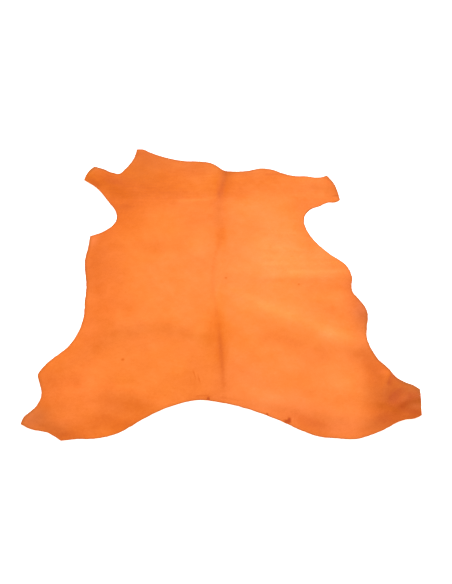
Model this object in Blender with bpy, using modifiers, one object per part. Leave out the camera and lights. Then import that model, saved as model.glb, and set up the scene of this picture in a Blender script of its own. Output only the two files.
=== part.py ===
"""A whole goat-size leather hide laid out flat, grain side up: one skin, so one solid.

+X runs across the hide, +Y from the hind legs to the neck, and +Z up from the surface
that it lies on. The origin is on that surface, under the middle of the hide's box.
Places on the skin are centimetres across and along from a mark near its middle, as they
would be read off a cutting table, and heights are millimetres.
"""

import bpy
import numpy as np

CM = 0.01
MM = 0.001

LEATHER_THICKNESS = 1.3 * MM
CELLS_ACROSS = 48
CELLS_ALONG = 40
RELAX_ROUNDS = 900
STEPS_PER_SPAN = 24

# The cut rim, clockwise from the left foreleg. Each stretch is one smooth line between
# two corners of the skin, and its places are (across, along).
RIM = {
    "left foreleg end": ((-37.2, 33.4), (-36.7, 35.4), (-34.9, 38.4)),
    "left of the neck": (
        (-34.9, 38.4), (-32.6, 37.9), (-30.1, 36.7), (-28.2, 36.3), (-26.7, 38.3), (-24.5, 43.4),
        (-24.1, 46.2),
    ),
    "neck": (
        (-24.1, 46.2), (-22.4, 46.3), (-20.4, 45.2), (-11.0, 41.8), (-6.0, 41.5), (-3.9, 41.0),
        (0.5, 37.6), (6.1, 37.7), (10.2, 38.8), (12.9, 38.3), (15.5, 36.9), (18.7, 35.7), (21.9, 35.5),
        (25.0, 34.9), (27.5, 35.7),
    ),
    "right foreleg end": ((27.5, 35.7), (28.8, 32.7), (30.1, 26.0)),
    "right flank": (
        (30.1, 26.0), (28.9, 25.0), (26.9, 24.9), (24.7, 23.5), (22.3, 22.2), (20.6, 19.7), (20.2, 16.9),
        (20.9, 13.2), (23.4, 8.1), (25.4, 5.4), (29.3, 0.6), (30.0, -2.3), (29.7, -7.8), (31.0, -10.4),
        (32.0, -13.1), (32.2, -15.3), (31.6, -18.7), (31.2, -22.4), (33.0, -28.2), (34.6, -30.4),
        (36.0, -33.2), (37.6, -34.8), (39.0, -35.8), (40.0, -37.0),
    ),
    "right hind leg end": ((40.0, -37.0), (39.4, -43.1)),
    "rump": (
        (39.4, -43.1), (38.2, -43.7), (36.0, -43.9), (30.3, -46.7), (25.6, -48.3), (22.1, -48.1),
        (18.7, -47.7), (15.4, -46.3), (11.4, -44.0), (-0.7, -39.4), (-4.8, -38.8), (-10.6, -40.4),
        (-14.9, -42.8), (-21.8, -47.4), (-25.2, -48.2), (-28.7, -48.3), (-31.6, -48.7),
    ),
    "left hind leg end": ((-31.6, -48.7), (-35.0, -46.6), (-37.5, -46.1), (-40.1, -44.9)),
    "left flank": (
        (-40.1, -44.9), (-39.9, -43.7), (-37.8, -40.4), (-37.2, -38.1), (-37.5, -36.0), (-38.1, -34.4),
        (-38.7, -32.5), (-37.8, -30.1), (-33.2, -24.0), (-31.3, -15.1), (-31.6, -11.3), (-31.8, -6.8),
        (-33.3, 3.7), (-33.1, 7.5), (-33.1, 11.8),
    ),
    "behind the left foreleg": (
        (-33.1, 11.8), (-30.3, 13.1), (-27.2, 17.9), (-27.7, 21.3), (-29.6, 24.7), (-34.3, 31.3),
        (-37.2, 33.4),
    ),
}

# The four sides of the skin, from one leg's tip to the next, clockwise.
NECK_SIDE = ("left foreleg end", "left of the neck", "neck", "right foreleg end")
RIGHT_SIDE = ("right flank", "right hind leg end")
RUMP_SIDE = ("rump", "left hind leg end")
LEFT_SIDE = ("left flank", "behind the left foreleg")

BACKBONE = (
    (-0.7, -39.4), (-0.5, -28.2), (-1.0, -19.6), (-1.7, 3.1), (-1.9, 12.2), (-1.5, 26.0), (0.5, 37.6),
)

# Folds: start, middle and end places, height in mm (a trough is negative), and the
# half-widths in cm to the left and to the right of a walk along the fold.
FOLDS = {
    "backbone swell": ((-0.7, -42.0), (-1.4, -3.0), (0.3, 40.0), 2.2, 4.0, 4.0),
    "backbone groove": ((-0.7, -42.0), (-1.4, -3.0), (0.3, 40.0), -1.6, 1.2, 1.2),
    "left haunch arch": ((-33.0, -28.0), (-19.5, -17.8), (-6.0, -19.8), 4.4, 5.0, 3.4),
    "left flank swell": ((-29.5, 12.0), (-28.5, -3.0), (-26.5, -15.0), 3.5, 5.0, 3.2),
    "left rump swell": ((-31.0, -37.5), (-22.5, -37.2), (-14.0, -40.0), 3.5, 3.0, 3.6),
    "left hind leg ridge": ((-41.0, -39.0), (-34.0, -40.2), (-25.0, -41.6), 1.6, 3.4, 3.6),
    "left foreleg ridge": ((-37.0, 38.5), (-31.0, 33.0), (-25.0, 29.5), 2.6, 3.4, 2.8),
    "right shoulder ridge": ((9.0, -3.0), (19.0, -3.1), (30.5, -2.2), 3.4, 8.0, 2.0),
    "right haunch ridge": ((2.0, -9.0), (16.8, -18.4), (31.0, -24.2), 4.8, 2.6, 4.0),
    "right rump swell": ((5.0, -38.3), (14.0, -40.3), (23.0, -43.0), 3.0, 3.2, 2.2),
    "right foreleg ridge": ((21.0, 32.0), (25.5, 32.3), (30.5, 31.2), 2.0, 3.0, 2.8),
    "right hind leg crease": ((33.5, -32.5), (33.4, -35.5), (32.2, -39.5), 2.6, 1.4, 1.4),
    "right hind leg wrinkle": ((34.6, -40.8), (37.2, -39.6), (40.2, -39.4), 2.4, 1.3, 1.2),
}

# Places where the skin stands off the table: centre, height in mm, reach in cm.
LIFTS = {
    "neck corner": ((-25.0, 49.0), 4.0, 5.0),
    "left foreleg tip": ((-37.0, 38.0), 6.0, 5.0),
    "right foreleg tip": ((31.0, 30.0), 5.0, 5.0),
    "right flank bulge": ((33.0, -14.0), 5.0, 3.6),
    "right hind leg tip": ((42.0, -38.5), 16.0, 7.5),
    "left hind leg tip": ((-41.5, -43.5), 6.0, 3.6),
    "left hip": ((-39.5, -32.0), 5.0, 4.0),
}

# The neck strip was folded back in storage, and climbs from this line to its rim.
NECK_BEND = ((-28.6, 24.6), (-5.0, 26.6), (22.0, 27.0))
NECK_SLOPE = 0.075
NECK_BEND_SOFTNESS = 0.9 * CM

# Leather lies flat where the folds would raise it by less than this.
SETTLE = 0.9 * MM
SETTLE_SOFTNESS = 1.6 * MM

ORANGE = (0.90, 0.23, 0.045, 1.0)
LEATHER_ROUGHNESS = 0.5


def clear_scene():
    for thing in list(bpy.data.objects):
        bpy.data.objects.remove(thing, do_unlink=True)


def smooth_line(places):
    """A cubic through the places, its direction at each taken from the two neighbours."""
    p = np.array(places) * CM
    gap = np.linalg.norm(np.diff(p, axis=0), axis=1)[:, None]
    slope = np.diff(p, axis=0) / gap
    inner = (slope[:-1] * gap[1:] + slope[1:] * gap[:-1]) / (gap[1:] + gap[:-1])
    if len(inner):
        first, last = 1.5 * slope[:1] - 0.5 * inner[:1], 1.5 * slope[-1:] - 0.5 * inner[-1:]
        slope_at = np.vstack([first, inner, last])
    else:
        slope_at = np.vstack([slope, slope])
    t = np.linspace(0.0, 1.0, STEPS_PER_SPAN, endpoint=False)[None, :, None]
    start, end, length = p[:-1, None], p[1:, None], gap[:, None]
    spans = (
        start * (2 * t**3 - 3 * t**2 + 1)
        + end * (3 * t**2 - 2 * t**3)
        + slope_at[:-1, None] * length * (t**3 - 2 * t**2 + t)
        + slope_at[1:, None] * length * (t**3 - t**2)
    )
    return np.vstack([spans.reshape(-1, 2), p[-1:]])


def walked(line):
    """The distance walked along a line to each of its points."""
    return np.concatenate([[0.0], np.cumsum(np.linalg.norm(np.diff(line, axis=0), axis=1))])


def points_at(line, distances):
    """The places at these distances along a line."""
    along = walked(line)
    return np.stack([np.interp(distances, along, line[:, axis]) for axis in (0, 1)], axis=1)


def rim_side(names, cells, middle=None):
    """One side of the rim, cut into cells of even length but for an end on every corner.

    Where the side has a middle place, half of the cells lie on either side of it.
    """
    lines = [smooth_line(RIM[name]) for name in names]
    side = np.vstack(lines)
    along = walked(side)
    corners = along[np.cumsum([len(line) for line in lines]) - 1]
    stops = np.concatenate([[0.0], corners])
    share = stops / along[-1]
    if middle is not None:
        nearest = np.argmin(np.linalg.norm(side - np.array(middle) * CM, axis=1))
        stops = np.sort(np.append(stops, along[nearest]))
        share = np.interp(stops, [0.0, along[nearest], along[-1]], [0.0, 0.5, 1.0])
    cell_at_stop = np.rint(share * cells)
    return points_at(side, np.interp(np.arange(cells + 1), cell_at_stop, stops))


def blended(rump, neck, left, right):
    """A patch between four sides: the blend across plus the blend along, less the corners' blend."""
    u = np.linspace(0.0, 1.0, len(rump))[None, :, None]
    v = np.linspace(0.0, 1.0, len(left))[:, None, None]
    across = left[:, None] * (1 - u) + right[:, None] * u
    along = rump[None] * (1 - v) + neck[None] * v
    rump_corners = rump[0] * (1 - u) + rump[-1] * u
    neck_corners = neck[0] * (1 - u) + neck[-1] * u
    return across + along - rump_corners * (1 - v) - neck_corners * v


def relaxed(grid, middle_column):
    """Each free point moved until the grid's lines run smoothly and none cross (Winslow's equations).

    The rim and the backbone's column stay where they are.
    """
    free = np.ones(grid.shape[:2], bool)[1:-1, 1:-1]
    free[:, middle_column - 1] = False
    for _ in range(RELAX_ROUNDS):
        east, west = grid[1:-1, 2:], grid[1:-1, :-2]
        north, south = grid[2:, 1:-1], grid[:-2, 1:-1]
        twist = (grid[2:, 2:] - grid[2:, :-2] - grid[:-2, 2:] + grid[:-2, :-2]) / 4
        across, along = (east - west) / 2, (north - south) / 2
        weight_across = (along**2).sum(axis=2, keepdims=True)
        weight_along = (across**2).sum(axis=2, keepdims=True)
        skew = (across * along).sum(axis=2, keepdims=True)
        moved = weight_across * (east + west) + weight_along * (north + south) - 2 * skew * twist
        moved /= 2 * (weight_across + weight_along)
        grid[1:-1, 1:-1][free] = moved[free]
    return grid


def hide_grid():
    """The skin's plan as rows from the rump to the neck, each from left to right."""
    rump = rim_side(RUMP_SIDE, CELLS_ACROSS, BACKBONE[0])[::-1]
    neck = rim_side(NECK_SIDE, CELLS_ACROSS, BACKBONE[-1])
    left = rim_side(LEFT_SIDE, CELLS_ALONG)
    right = rim_side(RIGHT_SIDE, CELLS_ALONG)[::-1]
    spine = smooth_line(BACKBONE)
    spine = points_at(spine, np.linspace(0.0, walked(spine)[-1], CELLS_ALONG + 1))
    half = CELLS_ACROSS // 2
    left_half = blended(rump[: half + 1], neck[: half + 1], left, spine)
    right_half = blended(rump[half:], neck[half:], spine, right)
    return relaxed(np.hstack([left_half[:, :-1], right_half]), half)


def bowed_line(start, middle, end):
    """A parabola through three places, as a fine polyline."""
    start, middle, end = (np.array(place) * CM for place in (start, middle, end))
    pull = 2 * middle - (start + end) / 2
    t = np.linspace(0.0, 1.0, 17)[:, None]
    return start * (1 - t) ** 2 + pull * 2 * t * (1 - t) + end * t**2


def fold_height(plan, start, middle, end, height, left_width, right_width):
    """A bell-shaped ridge along a bowed line, with a width of its own on each side."""
    line = bowed_line(start, middle, end)
    step = np.diff(line, axis=0)
    offset = plan[..., None, :] - line[:-1]
    share = np.clip((offset * step).sum(axis=-1) / (step**2).sum(axis=-1), 0.0, 1.0)
    offset = offset - share[..., None] * step
    distance = np.linalg.norm(offset, axis=-1)
    nearest = distance.argmin(axis=-1)[..., None]
    side = (step[:, 0] * offset[..., 1] - step[:, 1] * offset[..., 0]) / np.linalg.norm(step, axis=1)
    distance = np.take_along_axis(distance, nearest, axis=-1)[..., 0]
    leftness = np.take_along_axis(side, nearest, axis=-1)[..., 0] / np.maximum(distance, 1e-9)
    width = (left_width + right_width) / 2 + leftness * (left_width - right_width) / 2
    return height * MM * np.exp(-((distance / (width * CM)) ** 2))


def lift_height(plan, centre, height, reach):
    distance = np.linalg.norm(plan - np.array(centre) * CM, axis=-1)
    return height * MM * np.exp(-((distance / (reach * CM)) ** 2))


def neck_height(plan):
    """A ramp that starts softly at the neck's bend."""
    line = bowed_line(*NECK_BEND)
    beyond = (plan[..., 1] - np.interp(plan[..., 0], line[:, 0], line[:, 1])) / NECK_BEND_SOFTNESS
    return NECK_SLOPE * NECK_BEND_SOFTNESS * np.logaddexp(0.0, beyond)


def underside_height(plan):
    """The sum of the neck's ramp, the folds and the lifts, settled flat where it is low."""
    height = neck_height(plan)
    height = height + sum(fold_height(plan, *fold) for fold in FOLDS.values())
    height = height + sum(lift_height(plan, *lift) for lift in LIFTS.values())
    over = np.maximum(height - SETTLE, 0.0)
    return over**2 / (over + SETTLE_SOFTNESS)


def leather_material():
    material = bpy.data.materials.new("orange leather")
    material.use_nodes = True
    finish = material.node_tree.nodes["Principled BSDF"]
    finish.inputs["Base Color"].default_value = ORANGE
    finish.inputs["Roughness"].default_value = LEATHER_ROUGHNESS
    finish.inputs["Metallic"].default_value = 0.0
    return material


def make_hide(collection):
    """The skin's underside as a grid in its plan and heights, thickened upwards."""
    bpy.ops.mesh.primitive_grid_add(x_subdivisions=CELLS_ACROSS, y_subdivisions=CELLS_ALONG, size=1.0)
    hide = bpy.context.object
    hide.name = "hide"
    plan = hide_grid()
    points = np.dstack([plan, underside_height(plan)]).reshape(-1, 3)
    middle = (points.min(axis=0) + points.max(axis=0)) / 2
    points[:, :2] -= middle[:2]
    hide.data.vertices.foreach_set("co", points.ravel())
    hide.data.shade_smooth()
    hide.data.materials.append(leather_material())
    leather = hide.modifiers.new("Leather thickness", "SOLIDIFY")
    leather.thickness = LEATHER_THICKNESS
    leather.offset = 1.0
    for old in hide.users_collection:
        old.objects.unlink(hide)
    collection.objects.link(hide)


def main():
    clear_scene()
    collection = bpy.data.collections.new("leather hide")
    bpy.context.scene.collection.children.link(collection)
    make_hide(collection)


main()
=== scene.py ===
"""A whole goat-size leather hide, dyed orange and laid out flat with its grain side up.

+X runs across the hide, +Y from the hind legs to the neck, and +Z up from the surface
that it lies on. Places on the skin are centimetres across and along from a mark near its
middle, heights are millimetres, and everything is in metres once it is in a mesh.
"""

import math

import bpy
import numpy as np
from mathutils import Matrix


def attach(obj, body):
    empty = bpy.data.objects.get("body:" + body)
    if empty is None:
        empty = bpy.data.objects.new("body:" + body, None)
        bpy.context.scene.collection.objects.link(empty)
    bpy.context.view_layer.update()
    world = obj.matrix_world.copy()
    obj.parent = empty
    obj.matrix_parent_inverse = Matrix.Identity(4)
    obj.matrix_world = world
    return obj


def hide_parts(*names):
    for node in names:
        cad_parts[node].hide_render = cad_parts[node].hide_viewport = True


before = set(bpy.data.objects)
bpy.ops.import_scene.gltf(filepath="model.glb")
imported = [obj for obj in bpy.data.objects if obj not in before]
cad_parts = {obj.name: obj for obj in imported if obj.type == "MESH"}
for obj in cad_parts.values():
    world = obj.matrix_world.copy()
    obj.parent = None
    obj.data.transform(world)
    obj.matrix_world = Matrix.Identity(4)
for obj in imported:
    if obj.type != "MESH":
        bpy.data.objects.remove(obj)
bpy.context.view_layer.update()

CM = 0.01
MM = 0.001

LEATHER_THICKNESS = 1.3 * MM
STEPS_PER_SPAN = 24
BOW_STEPS = 17

# The grid that the source model has, and the finer one that it is worked up to here.
PLAIN_CELLS = (48, 40)
PLAIN_ROUNDS = 900
FINE_CELLS = (276, 270)
FINE_ROUNDS = 160
# The flesh side keeps one grid line in three.
FLESH_STRIDE = 3

# The cut rim, clockwise from the left foreleg. Each stretch is one smooth line between
# two corners of the skin, and its places are (across, along).
RIM = {
    "left foreleg end": ((-37.2, 33.4), (-36.7, 35.4), (-34.9, 38.4)),
    "left of the neck": (
        (-34.9, 38.4), (-32.6, 37.9), (-30.1, 36.7), (-28.2, 36.3), (-26.7, 38.3), (-24.5, 43.4),
        (-24.1, 46.2),
    ),
    "neck": (
        (-24.1, 46.2), (-22.4, 46.3), (-20.4, 45.2), (-11.0, 41.8), (-6.0, 41.5), (-3.9, 41.0),
        (0.5, 37.6), (6.1, 37.7), (10.2, 38.8), (12.9, 38.3), (15.5, 36.9), (18.7, 35.7), (21.9, 35.5),
        (25.0, 34.9), (27.5, 35.7),
    ),
    "right foreleg end": ((27.5, 35.7), (28.8, 32.7), (30.1, 26.0)),
    "right flank": (
        (30.1, 26.0), (28.9, 25.0), (26.9, 24.9), (24.7, 23.5), (22.3, 22.2), (20.6, 19.7), (20.2, 16.9),
        (20.9, 13.2), (23.4, 8.1), (25.4, 5.4), (29.3, 0.6), (30.0, -2.3), (29.7, -7.8), (31.0, -10.4),
        (32.0, -13.1), (32.2, -15.3), (31.6, -18.7), (31.2, -22.4), (33.0, -28.2), (34.6, -30.4),
        (36.0, -33.2), (37.6, -34.8), (39.0, -35.8), (40.0, -37.0),
    ),
    "right hind leg end": ((40.0, -37.0), (39.4, -43.1)),
    "rump": (
        (39.4, -43.1), (38.2, -43.7), (36.0, -43.9), (30.3, -46.7), (25.6, -48.3), (22.1, -48.1),
        (18.7, -47.7), (15.4, -46.3), (11.4, -44.0), (-0.7, -39.4), (-4.8, -38.8), (-10.6, -40.4),
        (-14.9, -42.8), (-21.8, -47.4), (-25.2, -48.2), (-28.7, -48.3), (-31.6, -48.7),
    ),
    "left hind leg end": ((-31.6, -48.7), (-35.0, -46.6), (-37.5, -46.1), (-40.1, -44.9)),
    "left flank": (
        (-40.1, -44.9), (-39.9, -43.7), (-37.8, -40.4), (-37.2, -38.1), (-37.5, -36.0), (-38.1, -34.4),
        (-38.7, -32.5), (-37.8, -30.1), (-33.2, -24.0), (-31.3, -15.1), (-31.6, -11.3), (-31.8, -6.8),
        (-33.3, 3.7), (-33.1, 7.5), (-33.1, 11.8),
    ),
    "behind the left foreleg": (
        (-33.1, 11.8), (-30.3, 13.1), (-27.2, 17.9), (-27.7, 21.3), (-29.6, 24.7), (-34.3, 31.3),
        (-37.2, 33.4),
    ),
}

# The four sides of the skin, from one leg's tip to the next, clockwise.
NECK_SIDE = ("left foreleg end", "left of the neck", "neck", "right foreleg end")
RIGHT_SIDE = ("right flank", "right hind leg end")
RUMP_SIDE = ("rump", "left hind leg end")
LEFT_SIDE = ("left flank", "behind the left foreleg")

BACKBONE = (
    (-0.7, -39.4), (-0.5, -28.2), (-1.0, -19.6), (-1.7, 3.1), (-1.9, 12.2), (-1.5, 26.0), (0.5, 37.6),
)

# Folds: start, middle and end places, height in mm (a trough is negative), and the
# half-widths in cm to the left and to the right of a walk along the fold.
FOLDS = {
    "backbone swell": ((-0.7, -42.0), (-1.4, -3.0), (0.3, 40.0), 2.2, 4.0, 4.0),
    "backbone groove": ((-0.7, -42.0), (-1.4, -3.0), (0.3, 40.0), -1.6, 1.2, 1.2),
    "left haunch arch": ((-33.0, -28.0), (-19.5, -17.8), (-6.0, -19.8), 4.4, 5.0, 3.4),
    "left flank swell": ((-29.5, 12.0), (-28.5, -3.0), (-26.5, -15.0), 3.5, 5.0, 3.2),
    "left rump swell": ((-31.0, -37.5), (-22.5, -37.2), (-14.0, -40.0), 3.5, 3.0, 3.6),
    "left hind leg ridge": ((-41.0, -39.0), (-34.0, -40.2), (-25.0, -41.6), 1.6, 3.4, 3.6),
    "left foreleg ridge": ((-37.0, 38.5), (-31.0, 33.0), (-25.0, 29.5), 2.6, 3.4, 2.8),
    "right shoulder ridge": ((9.0, -3.0), (19.0, -3.1), (30.5, -2.2), 3.4, 8.0, 2.0),
    "right haunch ridge": ((2.0, -9.0), (16.8, -18.4), (31.0, -24.2), 4.8, 2.6, 4.0),
    "right rump swell": ((5.0, -38.3), (14.0, -40.3), (23.0, -43.0), 3.0, 3.2, 2.2),
    "right foreleg ridge": ((21.0, 32.0), (25.5, 32.3), (30.5, 31.2), 2.0, 3.0, 2.8),
    "right hind leg crease": ((33.5, -32.5), (33.4, -35.5), (32.2, -39.5), 2.6, 1.4, 1.4),
    "right hind leg wrinkle": ((34.6, -40.8), (37.2, -39.6), (40.2, -39.4), 2.4, 1.3, 1.2),
}

# Places where the skin stands off the table: centre, height in mm, reach in cm.
LIFTS = {
    "neck corner": ((-25.0, 49.0), 4.0, 5.0),
    "left foreleg tip": ((-37.0, 38.0), 6.0, 5.0),
    "right foreleg tip": ((31.0, 30.0), 5.0, 5.0),
    "right flank bulge": ((33.0, -14.0), 5.0, 3.6),
    "right hind leg tip": ((42.0, -38.5), 16.0, 7.5),
    "left hind leg tip": ((-41.5, -43.5), 6.0, 3.6),
    "left hip": ((-39.5, -32.0), 5.0, 4.0),
}

# The neck strip was folded back in storage, and climbs from this line to its rim.
NECK_BEND = ((-28.6, 24.6), (-5.0, 26.6), (22.0, 27.0))
NECK_SLOPE = 0.075
NECK_BEND_SOFTNESS = 0.9 * CM

# Leather lies flat where the folds would raise it by less than this.
SETTLE = 0.9 * MM
SETTLE_SOFTNESS = 1.6 * MM

# Finer creases of the grain side, in the same words as the folds.
CREASES = {
    "first flank streak": ((9.4, 12.6), (18.0, 12.3), (27.5, 12.2), 0.42, 0.7, 0.7),
    "second flank streak": ((9.2, 7.0), (17.0, 6.5), (24.5, 6.3), 0.30, 0.7, 0.7),
    "third flank streak": ((9.1, 3.5), (19.0, 3.4), (29.0, 3.5), 0.30, 0.7, 0.7),
    "fourth flank streak": ((8.4, 0.9), (18.0, 1.0), (29.0, 1.4), 0.50, 0.8, 0.8),
    "shoulder line": ((10.0, -3.0), (17.0, -3.1), (25.0, -2.9), 0.30, 1.2, 0.9),
    "neck bend": ((-12.0, 25.4), (-4.0, 25.8), (5.0, 26.2), 0.35, 0.5, 0.5),
    "shank line": ((35.3, -31.2), (34.4, -33.1), (33.7, -35.0), -0.5, 0.7, 0.3),
    "hock line": ((37.7, -38.2), (36.9, -40.1), (35.6, -41.0), -0.25, 0.5, 0.5),
    "hock fork": ((35.4, -41.0), (36.9, -41.6), (38.4, -42.2), -0.25, 0.5, 0.5),
}

# The share of a raised crease that shows on the flesh side too.
FLESH_SHARE = 0.8

# Slow buckling of the skin, as the sum of this many waves of random direction and length.
BUCKLE_SEED = 11
BUCKLE_WAVES = 48
BUCKLE_LENGTHS = (3.0 * CM, 9.0 * CM)
BUCKLE_HEIGHT = 0.06 * MM

# The cut edge from the grain side down: distance outwards from the cut, and share of the
# thickness. The first and the last belong to the two faces.
EDGE_PROFILE = (
    (-1.20, 1.00), (-0.45, 0.99), (-0.12, 0.92), (0.0, 0.72), (0.02, 0.45), (-0.04, 0.20),
    (-0.30, 0.03), (-1.20, 0.0),
)


def smooth_line(places):
    """A cubic through the places, its direction at each taken from the two neighbours."""
    p = np.array(places) * CM
    gap = np.linalg.norm(np.diff(p, axis=0), axis=1)[:, None]
    slope = np.diff(p, axis=0) / gap
    inner = (slope[:-1] * gap[1:] + slope[1:] * gap[:-1]) / (gap[1:] + gap[:-1])
    if len(inner):
        first, last = 1.5 * slope[:1] - 0.5 * inner[:1], 1.5 * slope[-1:] - 0.5 * inner[-1:]
        slope_at = np.vstack([first, inner, last])
    else:
        slope_at = np.vstack([slope, slope])
    t = np.linspace(0.0, 1.0, STEPS_PER_SPAN, endpoint=False)[None, :, None]
    start, end, length = p[:-1, None], p[1:, None], gap[:, None]
    spans = (
        start * (2 * t**3 - 3 * t**2 + 1)
        + end * (3 * t**2 - 2 * t**3)
        + slope_at[:-1, None] * length * (t**3 - 2 * t**2 + t)
        + slope_at[1:, None] * length * (t**3 - t**2)
    )
    return np.vstack([spans.reshape(-1, 2), p[-1:]])


def walked(line):
    """The distance walked along a line to each of its points."""
    return np.concatenate([[0.0], np.cumsum(np.linalg.norm(np.diff(line, axis=0), axis=1))])


def points_at(line, distances):
    """The places at these distances along a line."""
    along = walked(line)
    return np.stack([np.interp(distances, along, line[:, axis]) for axis in (0, 1)], axis=1)


def rim_side(names, cells, middle=None):
    """One side of the rim, cut into cells of even length but for an end on every corner.

    Where the side has a middle place, half of the cells lie on either side of it.
    """
    lines = [smooth_line(RIM[name]) for name in names]
    side = np.vstack(lines)
    along = walked(side)
    corners = along[np.cumsum([len(line) for line in lines]) - 1]
    stops = np.concatenate([[0.0], corners])
    share = stops / along[-1]
    if middle is not None:
        nearest = np.argmin(np.linalg.norm(side - np.array(middle) * CM, axis=1))
        stops = np.sort(np.append(stops, along[nearest]))
        share = np.interp(stops, [0.0, along[nearest], along[-1]], [0.0, 0.5, 1.0])
    cell_at_stop = np.rint(share * cells)
    return points_at(side, np.interp(np.arange(cells + 1), cell_at_stop, stops))


def blended(rump, neck, left, right):
    """A patch between four sides: the blend across plus the blend along, less the corners' blend."""
    u = np.linspace(0.0, 1.0, len(rump))[None, :, None]
    v = np.linspace(0.0, 1.0, len(left))[:, None, None]
    across = left[:, None] * (1 - u) + right[:, None] * u
    along = rump[None] * (1 - v) + neck[None] * v
    rump_corners = rump[0] * (1 - u) + rump[-1] * u
    neck_corners = neck[0] * (1 - u) + neck[-1] * u
    return across + along - rump_corners * (1 - v) - neck_corners * v


def relaxed(grid, middle_column, rounds):
    """Each free point moved until the grid's lines run smoothly and none cross (Winslow's equations).

    The rim and the backbone's column stay where they are.
    """
    free = np.ones(grid.shape[:2], bool)[1:-1, 1:-1]
    free[:, middle_column - 1] = False
    for _ in range(rounds):
        east, west = grid[1:-1, 2:], grid[1:-1, :-2]
        north, south = grid[2:, 1:-1], grid[:-2, 1:-1]
        twist = (grid[2:, 2:] - grid[2:, :-2] - grid[:-2, 2:] + grid[:-2, :-2]) / 4
        across, along = (east - west) / 2, (north - south) / 2
        weight_across = (along**2).sum(axis=2, keepdims=True)
        weight_along = (across**2).sum(axis=2, keepdims=True)
        skew = (across * along).sum(axis=2, keepdims=True)
        moved = weight_across * (east + west) + weight_along * (north + south) - 2 * skew * twist
        moved /= 2 * (weight_across + weight_along)
        grid[1:-1, 1:-1][free] = moved[free]
    return grid


def rim_and_backbone(cells):
    """The four sides and the backbone, cut for a grid of this many cells across and along."""
    across, along = cells
    rump = rim_side(RUMP_SIDE, across, BACKBONE[0])[::-1]
    neck = rim_side(NECK_SIDE, across, BACKBONE[-1])
    left = rim_side(LEFT_SIDE, along)
    right = rim_side(RIGHT_SIDE, along)[::-1]
    spine = smooth_line(BACKBONE)
    spine = points_at(spine, np.linspace(0.0, walked(spine)[-1], along + 1))
    return rump, neck, left, right, spine


def plain_grid():
    """The source model's plan, as rows from the rump to the neck, each from left to right."""
    rump, neck, left, right, spine = rim_and_backbone(PLAIN_CELLS)
    half = PLAIN_CELLS[0] // 2
    left_half = blended(rump[: half + 1], neck[: half + 1], left, spine)
    right_half = blended(rump[half:], neck[half:], spine, right)
    return relaxed(np.hstack([left_half[:, :-1], right_half]), half, PLAIN_ROUNDS)


def between_rows(grid, rows):
    """A grid read off in straight lines between its rows at this many even steps."""
    at = np.linspace(0.0, len(grid) - 1.0, rows)
    below = np.minimum(at.astype(int), len(grid) - 2)
    share = (at - below)[:, None, None]
    return grid[below] * (1 - share) + grid[below + 1] * share


def fine_grid():
    """The plain grid cut finer, its sides put back on the smooth rim, and relaxed again."""
    across, along = FINE_CELLS
    grid = between_rows(plain_grid(), along + 1)
    grid = between_rows(grid.transpose(1, 0, 2), across + 1).transpose(1, 0, 2).copy()
    rump, neck, left, right, spine = rim_and_backbone(FINE_CELLS)
    grid[0], grid[-1], grid[:, 0], grid[:, -1] = rump, neck, left, right
    grid[:, across // 2] = spine
    return relaxed(grid, across // 2, FINE_ROUNDS)


def bowed_line(start, middle, end):
    """A parabola through three places, as a fine polyline."""
    start, middle, end = (np.array(place) * CM for place in (start, middle, end))
    pull = 2 * middle - (start + end) / 2
    t = np.linspace(0.0, 1.0, BOW_STEPS)[:, None]
    return start * (1 - t) ** 2 + pull * 2 * t * (1 - t) + end * t**2


def bell_along(plan, start, middle, end, size, left_width, right_width):
    """A ridge along a bowed line: its size times exp(-r squared).

    r is the distance from the line in widths, and the width eases from the left's to the
    right's round the line's ends.
    """
    line = bowed_line(start, middle, end)
    step = np.diff(line, axis=0)
    offset = plan[..., None, :] - line[:-1]
    share = np.clip((offset * step).sum(axis=-1) / (step**2).sum(axis=-1), 0.0, 1.0)
    offset = offset - share[..., None] * step
    distance = np.linalg.norm(offset, axis=-1)
    nearest = distance.argmin(axis=-1)[..., None]
    side = (step[:, 0] * offset[..., 1] - step[:, 1] * offset[..., 0]) / np.linalg.norm(step, axis=1)
    distance = np.take_along_axis(distance, nearest, axis=-1)[..., 0]
    leftness = np.take_along_axis(side, nearest, axis=-1)[..., 0] / np.maximum(distance, 1e-9)
    width = (left_width + right_width) / 2 + leftness * (left_width - right_width) / 2
    return size * np.exp(-((distance / (width * CM)) ** 2))


def lift_height(plan, centre, height, reach):
    """A soft mound: its height times exp(-r squared), r being the distance in reaches."""
    distance = np.linalg.norm(plan - np.array(centre) * CM, axis=-1)
    return height * MM * np.exp(-((distance / (reach * CM)) ** 2))


def neck_height(plan):
    """A ramp that starts softly at the neck's bend."""
    line = bowed_line(*NECK_BEND)
    beyond = (plan[..., 1] - np.interp(plan[..., 0], line[:, 0], line[:, 1])) / NECK_BEND_SOFTNESS
    return NECK_SLOPE * NECK_BEND_SOFTNESS * np.logaddexp(0.0, beyond)


def settled_height(plan):
    """The sum of the neck's ramp, the folds and the lifts, settled flat where it is low."""
    height = neck_height(plan)
    height = height + MM * sum(bell_along(plan, *fold) for fold in FOLDS.values())
    height = height + sum(lift_height(plan, *lift) for lift in LIFTS.values())
    over = np.maximum(height - SETTLE, 0.0)
    return over**2 / (over + SETTLE_SOFTNESS)


def buckling(plan):
    """Soft lumps and hollows: many sine waves added up, scaled to their usual height."""
    chance = np.random.default_rng(BUCKLE_SEED)
    turn = chance.uniform(0.0, math.pi, BUCKLE_WAVES)
    wave = 2 * math.pi / chance.uniform(*BUCKLE_LENGTHS, BUCKLE_WAVES)
    start = chance.uniform(0.0, 2 * math.pi, BUCKLE_WAVES)
    phase = plan @ (np.stack([np.cos(turn), np.sin(turn)]) * wave) + start
    return BUCKLE_HEIGHT * np.sin(phase).sum(axis=-1) / math.sqrt(BUCKLE_WAVES / 2)


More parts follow.
